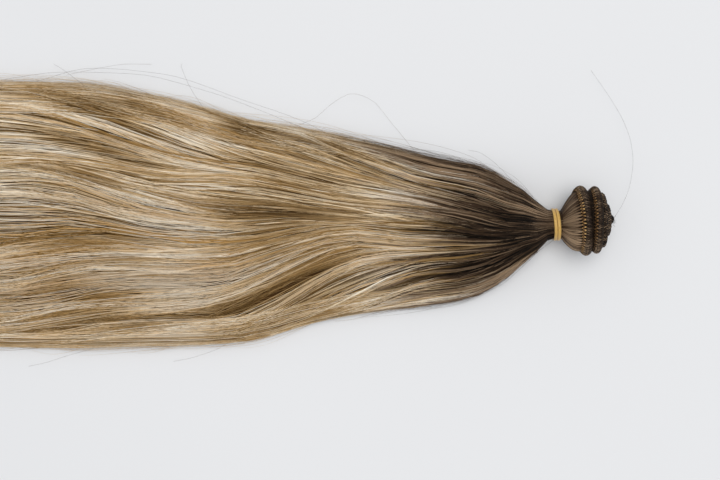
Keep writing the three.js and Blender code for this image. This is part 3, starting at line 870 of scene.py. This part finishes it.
def placeWeft(u, w):
    length = u * weftLength[-1]
    turn = turnAt(length)
    angle = 2 * math.pi * w
    side, up = np.cos(angle), np.sin(angle)
    inner = ease(turn, *weft["braidAt"])
    ends = ease(u, 0, weft["endAt"]) * (1 - ease(u, weft["lastAt"], 1))
    phase = 2 * math.pi * length / weft["pitch"]
    bumps = np.sin(phase + 2.2 * side) * (inner * weft["braid"] + (1 - inner) * weft["ripple"])
    bumps += 0.5 * inner * weft["braid"] * np.sin(phase * 0.5 - 3 * side)
    across = (roll["width"] / 2 + weft["wave"] * bumps) * squared(side, roll["square"])
    thick = np.where(up > 0, roll["outside"], roll["inside"]) + bumps * np.maximum(up, 0)
    through = thick * squared(up, roll["square"])
    grown = weft["endSize"] + (1 - weft["endSize"]) * ends
    return onWeft(turn, across * grown, through * grown)


def weftFinish():
    finish = Finish("sewn_weft")
    place = finish.add("ShaderNodeTexCoord", {}, {}, output=3)
    cloud = finish.noise(place, 1100, detail=3)
    fine = finish.noise(place, 3800, detail=2)
    bakeMap = finish.add("ShaderNodeUVMap", {"uv_map": "OFBake"}, {})
    girth = finish.add("ShaderNodeSeparateXYZ", {}, {0: bakeMap}, output=1)
    # the strip shows its brown only along its crest, as a painted highlight; its sides and underside are near
    # black, its own dark colour and painted shade
    paintedCrestLight = finish.ramp(girth, ((0.02, (0, 0, 0, 1)), (0.27, (1, 1, 1, 1)), (0.49, (0.1, 0.1, 0.1, 1))))
    shades = ((0.38, paint(16, 11, 8)), (0.55, paint(42, 31, 24)), (0.72, paint(92, 73, 56)))
    worn = finish.ramp(cloud, shades)
    return finish.set(colour=finish.mixColours(paintedCrestLight, paint(17, 12, 9), worn), roughness=0.55, specular=0.12,
                      normal=finish.bump(fine, 0.5, 0.0003))


addPiece("sewn_weft", sweptMesh("sewn_weft", weft["steps"], weft["sides"], placeWeft), weftFinish(),
         ("weft_edge",))
print("sewn weft:", round(weftLength[-1]), "mm long")

# Threads that cross over the sewn strip, and its golden stitches

threads = {"first": 1.5, "pitch": 1.1, "radius": 0.00015, "until": 4.6, "slant": 2.6, "rings": 9,
           "across": 0.04, "above": 0.06, "coneAt": (2, 2.5)}


def crossThreads():
    starts = np.arange(threads["first"], lengthAt(threads["until"]), threads["pitch"])
    starts = np.concatenate((starts, starts + threads["pitch"] / 2))
    slant = np.repeat((threads["slant"], -threads["slant"]), len(starts) // 2)
    share = np.linspace(0, 1, threads["rings"])[None]
    angle = math.pi * (0.97 - 0.94 * share) + 0 * starts[:, None]
    side, up = np.cos(angle), np.sin(angle)
    length = starts[:, None] + slant[:, None] * (share - 0.5)
    across = (roll["width"] / 2 + threads["across"]) * squared(side, roll["square"])
    through = (roll["outside"] + threads["above"]) * squared(up, roll["square"])
    paths = onWeft(turnAt(length), across, through)
    inCone = ease(turnAt(length), *threads["coneAt"])
    # the threads are painted darker towards the strip's tip side, as painted shade
    light = between(0.15, 0.95, len(starts)) - 0.45 * ease(side, -0.1, 0.8)
    light = light + 0.06 + inCone * between(-0.7, 0.75, len(starts))
    return strandMesh("weft_threads", paths, threads["radius"], toneLayers(1, light))


addPiece("weft_threads", crossThreads(), hairMaterial)

stitches = {
    "first": 1, "pitch": 2.2, "radius": 0.00028, "until": 2.2, "rings": 7, "across": 0.1, "above": 0.16,
    "holesUntil": 4.4, "holeHalf": 0.24, "holeRings": (0.45, 1, 1, 0.45), "largeHole": 0.4, "holeDepth": 0.1,
    "coneAt": (2, 2.4), "coneHole": 0.46,
    # rows of dark gaps, painted shade in the weave: place across in stitches, slip along in stitches, size in
    # millimetres
    "holes": ((0.08, 0.5, 0.56), (0.92, 0, 0.56), (1.5, 0.4, 0.28), (1.95, 0.1, 0.3), (2.4, 0.7, 0.26)),
}


def stitchAngle(turn, share):  # the stitches spread where they face up, and are narrow at the sides
    return math.pi * (0.97 - (0.09 + 0.24 * facingUp(turn)) * share)


def stitchHoleShade():  # painted shade: dark gaps opposite the corners of the stitches, and smaller ones over the crest
    until = lengthAt(stitches["holesUntil"])
    half, rings = stitches["holeHalf"], np.array(stitches["holeRings"])
    paths = []
    radii = []
    for place, slip, size in stitches["holes"]:
        large = size > stitches["largeHole"]
        centres = np.arange(stitches["first"] + slip * stitches["pitch"], until, stitches["pitch"])
        length = column(centres) + around(0, 0.1 if large else 0.5, len(centres))
        share = place + np.linspace(-half, half, len(rings))[None]
        if not large:
            share = share + around(0, 0.2, len(centres))
        turn = turnAt(length + 0 * share)
        inCone = ease(turn, *stitches["coneAt"])
        angle = stitchAngle(turn, share) * (1 - 0.25 * inCone)
        through = (roll["outside"] - stitches["holeDepth"]) * np.sin(angle)
        paths.append(onWeft(turn, (roll["width"] / 2) * np.cos(angle), through))
        size = size + inCone * (stitches["coneHole"] - size)
        radii.append(size / 1000 * between(0.8, 1.15, len(centres)) * rings)
    paths, radii = np.concatenate(paths), np.concatenate(radii)
    return strandMesh("stitch_hole_shade", paths, radii, toneLayers(1, 0), corners=4)


def goldStitches():  # a zigzag with painted highlights on its corners and where it faces up, and duller arms
    half = stitches["pitch"] / 2
    starts = column(np.arange(stitches["first"], lengthAt(stitches["until"]), half))
    count = len(starts)
    up = column(np.arange(count) % 2 == 0)
    share = np.linspace(0, 1, stitches["rings"])[None]
    length = starts + half * share + around(0, 0.07, count)
    turn = turnAt(length)
    angle = stitchAngle(turn, np.where(up, share, 1 - share)) + around(0, 0.02, count)
    across = (roll["width"] / 2 + stitches["across"]) * np.cos(angle)
    through = (roll["outside"] + stitches["above"]) * np.sin(angle)
    paths = onWeft(turn, across, through)
    corner = np.abs(2 * share - 1) ** 1.5
    fade = 0.4 + 0.6 * (1 - ease(turn, 0.9, 1.7))
    facing = facingUp(turn)
    fade = fade * (0.6 + 0.4 * ease(facing, 0, 0.5))
    light = np.clip(around(0.9, 0.28, count) * fade * (0.3 + 0.7 * corner), 0, 1)
    radii = stitches["radius"] * (0.7 + 0.5 * corner) * (0.55 + 0.4 * facing) * between(0.85, 1.15, count)
    return strandMesh("gold_stitches", paths, radii, toneLayers(light, light, light), corners=5)


def stitchFinish():
    finish = Finish("gold_thread")
    light = toneParts(finish)[0]
    golds = ((0, paint(52, 37, 23)), (0.4, paint(142, 101, 52)), (1, paint(222, 178, 108)))
    return finish.set(colour=finish.ramp(light, golds), roughness=0.4)


addPiece("gold_stitches", goldStitches(), stitchFinish())
addPiece("stitch_hole_shade", stitchHoleShade(), hairMaterial)
print("threads and stitches")

# Roots: the hair that fans out from the elastic into the sewn strip

fan = {
    "steps": 60, "sides": 96, "tufts": 58, "each": 12, "rings": 10, "radius": 0.0002, "into": 0.6,
    "overX": (1, 2.9, 4.2, 5, 6.5, 8.5, 11, 14.4, 18),
    "overOut": (8.5, 8.7, 10.6, 11.9, 14.0, 16.4, 18.5, 19.4, 19.8),
    "gatherAt": (0.6, 0.97), "tuftLight": (0.58, 0.16), "crownLight": 0.26, "middleLight": 0.14,
    "farShade": 0.5, "nearShade": 0.2, "bandShade": 0.25,
    "gapRings": 5, "gapLength": 2.6, "gapInto": 0.7, "gapRadii": (0.00006, 0.0004),
    "valley": 360, "valleyOut": 19.6, "valleySag": 0.6,
}


def placeRoots(u, w):
    x = roll["coreX"][0] + (roll["coreX"][-1] - roll["coreX"][0]) * u
    return rollPoint(x, smoothColumn(roll["coreX"], roll["coreOut"], x), w)


def rootsFinish():
    finish = Finish("roots_body")
    place = finish.add("ShaderNodeTexCoord", {}, {}, output=3)
    streak = finish.noise(finish.stretched(place, (60, 900, 900)), 1.0, detail=3)
    colour = finish.ramp(streak, ((0.3, paint(18, 12, 8)), (0.7, paint(52, 40, 30))))
    return finish.set(colour=colour, roughness=0.6, specular=0.05, normal=finish.bump(streak, 0.6, 0.0005))


addPiece("roots_body", sweptMesh("roots_body", fan["steps"], fan["sides"], placeRoots), rootsFinish(),
         ("rolled_roots",))


def fanStrands():
    count = fan["tufts"] * fan["each"]
    tuft = np.repeat(np.arange(fan["tufts"]), fan["each"])
    inTuft = np.tile(np.linspace(-0.5, 0.5, fan["each"]), fan["tufts"]) + rng.normal(0, 0.06, count)
    share = np.linspace(0, 1, fan["rings"])[None]
    bearing = (column(tuft) + 0.5) / fan["tufts"]
    gather = 1.25 - 0.9 * ease(share, *fan["gatherAt"])
    bearing = bearing + column(inTuft) * gather / fan["tufts"] + 0.004 * around(0, 1, count) * (1 - share)
    bearing = np.mod(bearing, 1)
    end = stripMiddle(bearing) - roll["width"] / 2 + fan["into"]
    x = 1 + (end - 1) * share ** 1.15
    crown = np.sqrt(np.clip(1 - (column(inTuft) * 1.9) ** 2, 0, 1))
    out = smoothColumn(fan["overX"], fan["overOut"], x) + 0.45 * crown * ease(share, 0.3, 0.8)
    out = out - between(0, 0.5, count)
    paths = rollPoint(x, out, bearing)
    tuftLight = np.repeat(rng.normal(*fan["tuftLight"], fan["tufts"]), fan["each"])
    light = column(tuftLight + rng.normal(0, 0.14, count))
    # painted highlight along each tuft's crown, lighter along the middle of the run, and painted shade at the
    # cone's far and near sides and next to the elastic
    light = light + fan["crownLight"] * crown * ease(share, 0.15, 0.6)
    light = light + fan["middleLight"] * np.sin(math.pi * share)
    toSide = np.sin(2 * math.pi * bearing)
    light = light - fan["farShade"] * ease(toSide, 0.4, 0.95) - fan["nearShade"] * ease(-toSide, 0.5, 1)
    light = light - fan["bandShade"] * (1 - ease(share, 0, 0.1))
    return strandMesh("fan_strands", paths, fan["radius"] * between(0.8, 1.2, count), toneLayers(1, light))


def fanGapShade():  # painted shade: dark wedges between the tufts, where they enter the sewn strip
    bearing = column(np.arange(1, fan["tufts"]) / fan["tufts"])
    share = np.linspace(0, 1, fan["gapRings"])[None]
    end = stripMiddle(bearing) - roll["width"] / 2 + fan["gapInto"]
    x = end - fan["gapLength"] * (1 - share)
    paths = rollPoint(x, smoothColumn(fan["overX"], fan["overOut"], x) - 0.05, bearing + 0 * x)
    thin, thick = fan["gapRadii"]
    radii = (thin + thick * share ** 1.5) * (0.35 + 0.65 * facingUp(bearing))
    radii = radii * between(0.8, 1.2, len(bearing))
    return strandMesh("fan_gap_shade", paths, radii, toneLayers(1, 0), corners=5)


def valleyStrands():  # short tufts between the first two windings of the strip, painted dark as the shade in the valley
    count = fan["valley"]
    turn = between(0.02, 1.0, count)
    share = np.linspace(0, 1, fan["gapRings"])[None]
    left = stripMiddle(turn) + roll["width"] / 2 - 0.9
    right = stripMiddle(turn + 1) - roll["width"] / 2 + 0.4
    x = left + np.maximum(right - left, 0.8) * share
    out = fan["valleyOut"] - fan["valleySag"] * np.sin(math.pi * share) + between(-0.5, 0.2, count)
    paths = rollPoint(x, out, turn + 0.004 * around(0, 1, count) * share)
    return strandMesh("valley_strands", paths, fan["radius"], toneLayers(1, around(0.06, 0.2, count)))


addPiece("fan_strands", fanStrands(), hairMaterial)
addPiece("fan_gap_shade", fanGapShade(), hairMaterial)
addPiece("valley_strands", valleyStrands(), hairMaterial)
print("roots and their fan")

# Elastic, wound twice round the neck

elastic = {"steps": 260, "sides": 16, "neck": 8.6, "gap": 0.3, "width": 2.12, "thickness": 1.6, "lean": 0.08,
           "apart": 1.12, "shift": -0.4, "crossing": 6, "crossLift": 0.3, "round": 0.85}


def placeElastic(u, w):
    bearing = 4 * math.pi * u - 2 * math.pi
    angle = 2 * math.pi * w
    side, up = (squared(value, elastic["round"]) for value in (np.cos(angle), np.sin(angle)))
    swap = np.tanh(elastic["crossing"] * np.cos(bearing / 2))
    lift = 1 - ease(np.abs(bearing - math.pi), 0.5, 1.1)
    radius = elastic["neck"] + elastic["gap"] + elastic["thickness"] * (0.5 + 0.5 * up + lift)
    radius += elastic["crossLift"] * lift
    y = radius * np.sin(bearing)
    x = elastic["shift"] + elastic["apart"] * swap - elastic["width"] / 2 * side - elastic["lean"] * y
    z = roll["neckHeight"] + radius * np.cos(bearing)
    return np.stack((bandX + x / 1000, bandY + y / 1000, z / 1000), axis=-1)


def elasticFinish():
    finish = Finish("golden_elastic")
    place = finish.add("ShaderNodeUVMap", {"uv_map": "OFBake"}, {})
    fine = finish.noise(finish.stretched(place, (90, 14, 1)), 1.0, detail=2)
    colour = finish.ramp(fine, ((0.3, paint(186, 145, 68)), (0.7, paint(211, 172, 92))))
    return finish.set(colour=colour, roughness=0.45, sheen=0.2, normal=finish.bump(fine, 0.25, 0.0002))


addPiece("elastic", sweptMesh("elastic", elastic["steps"], elastic["sides"], placeElastic), elasticFinish(),
         ("elastic_band",))
print("elastic")

# Stray hairs round the extension, their places given

strays = {
    "radius": 0.000055, "rings": 24, "height": 0.004, "above": 100, "below": 34,
    "start": (0.05, 0.86), "length": (0.1, 0.3), "away": 0.0032, "awayLimits": (0.0006, 0.007),
    "fuzz": 320, "fuzzRings": 11, "fuzzRadius": 0.00009, "fuzzAbove": 0.66, "fuzzStart": (0.015, 0.82),
    "fuzzLength": (0.05, 0.17), "fuzzAway": 0.0013, "fuzzAwayLimits": (0.0002, 0.004), "fuzzLift": 0.0008,
    "tips": 9, "tipRings": 8, "tipX": 34, "tipRadius": 0.00007,
    # in the photo's pixels
    "paths": (
        ((286, 131), (300, 123), (314, 117), (333, 101), (352, 92), (371, 98), (393, 123), (418, 153),
         (432, 168)),
        ((594, 68), (613, 96), (627, 121), (634, 142), (636, 161), (633, 184), (625, 205), (614, 222)),
        ((470, 149), (480, 151), (495, 161), (515, 181), (529, 194), (541, 205)),
        ((180, 61), (179, 64), (182, 72), (189, 87), (203, 109)),
        ((50, 62), (60, 68), (71, 76), (84, 86), (96, 95)),
        ((62, 73), (82, 69), (103, 65), (126, 62), (149, 62)),
        ((171, 363), (186, 360), (200, 356), (214, 351), (230, 342)),
        ((24, 368), (42, 364), (64, 357), (90, 350)),
        ((556, 240), (540, 252), (520, 268), (500, 282), (480, 296), (452, 304)),
        ((0, 77), (60, 70), (130, 72), (200, 88), (262, 110), (330, 139)),
        ((30, 80), (90, 66), (160, 72), (240, 98), (300, 119), (352, 146)),
    ),
}


def strayStrands():
    picked = []
    share = np.linspace(0, 1, strays["rings"])
    for path in strays["paths"]:
        pixels = np.array(path, float)
        stops = np.linspace(0, 1, len(pixels))
        x = middleX + (smoothColumn(stops, pixels[:, 0], share) - halfWidth) * view["pixel"]
        y = middleY - (smoothColumn(stops, pixels[:, 1], share) - halfHeight) * view["pixel"]
        z = strays["height"] * (1 + 0.5 * np.sin(3 * share)) + 0 * x
        picked.append(np.stack((x, y, z), axis=-1))
    count = strays["above"] + strays["below"]
    side = np.where(np.arange(count) < strays["above"], 1.0, -1.0)
    start = between(*strays["start"], count)
    length = between(*strays["length"], count)
    at = np.clip(start + length * share[None], 0.02, 0.985)
    flight = np.sin(math.pi * share[None] ** between(0.7, 1.4, count))
    away = rng.exponential(strays["away"], count).clip(*strays["awayLimits"])
    away = column(away * np.where(side > 0, 1, 0.6))
    edge = onHair(at, column(side * rng.uniform(0.9, 1, count)) + 0 * at, 0.0)
    edge[..., 1] += column(side) * away * flight * (0.5 + 0.5 * ease(at, 0.04, 0.12))
    edge[..., 2] += 0.0012 * flight + 0.0006
    paths = np.concatenate((np.array(picked), edge))
    total = len(paths)
    light = between(0.3, 0.7, total)
    rooted = np.concatenate((np.ones((len(picked), len(share))), 1 - ease(at, 0.14, 0.3)))
    return strandMesh("stray_hairs", paths, strays["radius"], toneLayers(rooted, light, 0.1))


def edgeFuzz():  # short fine hairs that lift off the outline
    count = strays["fuzz"]
    share = np.linspace(0, 1, strays["fuzzRings"])[None]
    side = column(np.where(rng.uniform(0, 1, count) < strays["fuzzAbove"], 1.0, -1.0))
    start = between(*strays["fuzzStart"], count)
    at = start + between(*strays["fuzzLength"], count) * share
    away = column(rng.exponential(strays["fuzzAway"], count).clip(*strays["fuzzAwayLimits"]))
    points = onStrands(at, side * between(0.955, 1, count) + 0 * at, 0.0)
    points[..., 1] += side * away * (0.25 + np.sin(math.pi * share * between(0.5, 1, count)))
    points[..., 2] += 0.0014 * between(0, 1, count) + strays["fuzzLift"]
    tones = toneLayers(1 - ease(at, 0.2, 0.36), around(0.55, 0.16, count), 0.15)
    radii = strays["fuzzRadius"] * between(0.6, 1.2, count) * (1 - 0.7 * share)
    return strandMesh("edge_fuzz", points, radii, tones)


def tipHairs():
    count = strays["tips"]
    share = np.linspace(0, 1, strays["tipRings"])[None]
    x = strays["tipX"] + between(2.5, 5, count) * share
    bearing = between(0.1, 0.9, count) + 0.05 * share * around(0, 1, count)
    paths = rollPoint(x, 1.2 + between(0, 3, count) * share ** 1.4, bearing)
    return strandMesh("tip_hairs", paths, strays["tipRadius"], toneLayers(1, 0.3))


addPiece("stray_hairs", strayStrands(), hairMaterial)
addPiece("edge_fuzz", edgeFuzz(), hairMaterial)
addPiece("tip_hairs", tipHairs(), hairMaterial)

print("triangles:", sum(len(face.vertices) - 2 for piece in pieces for face in piece.data.polygons))
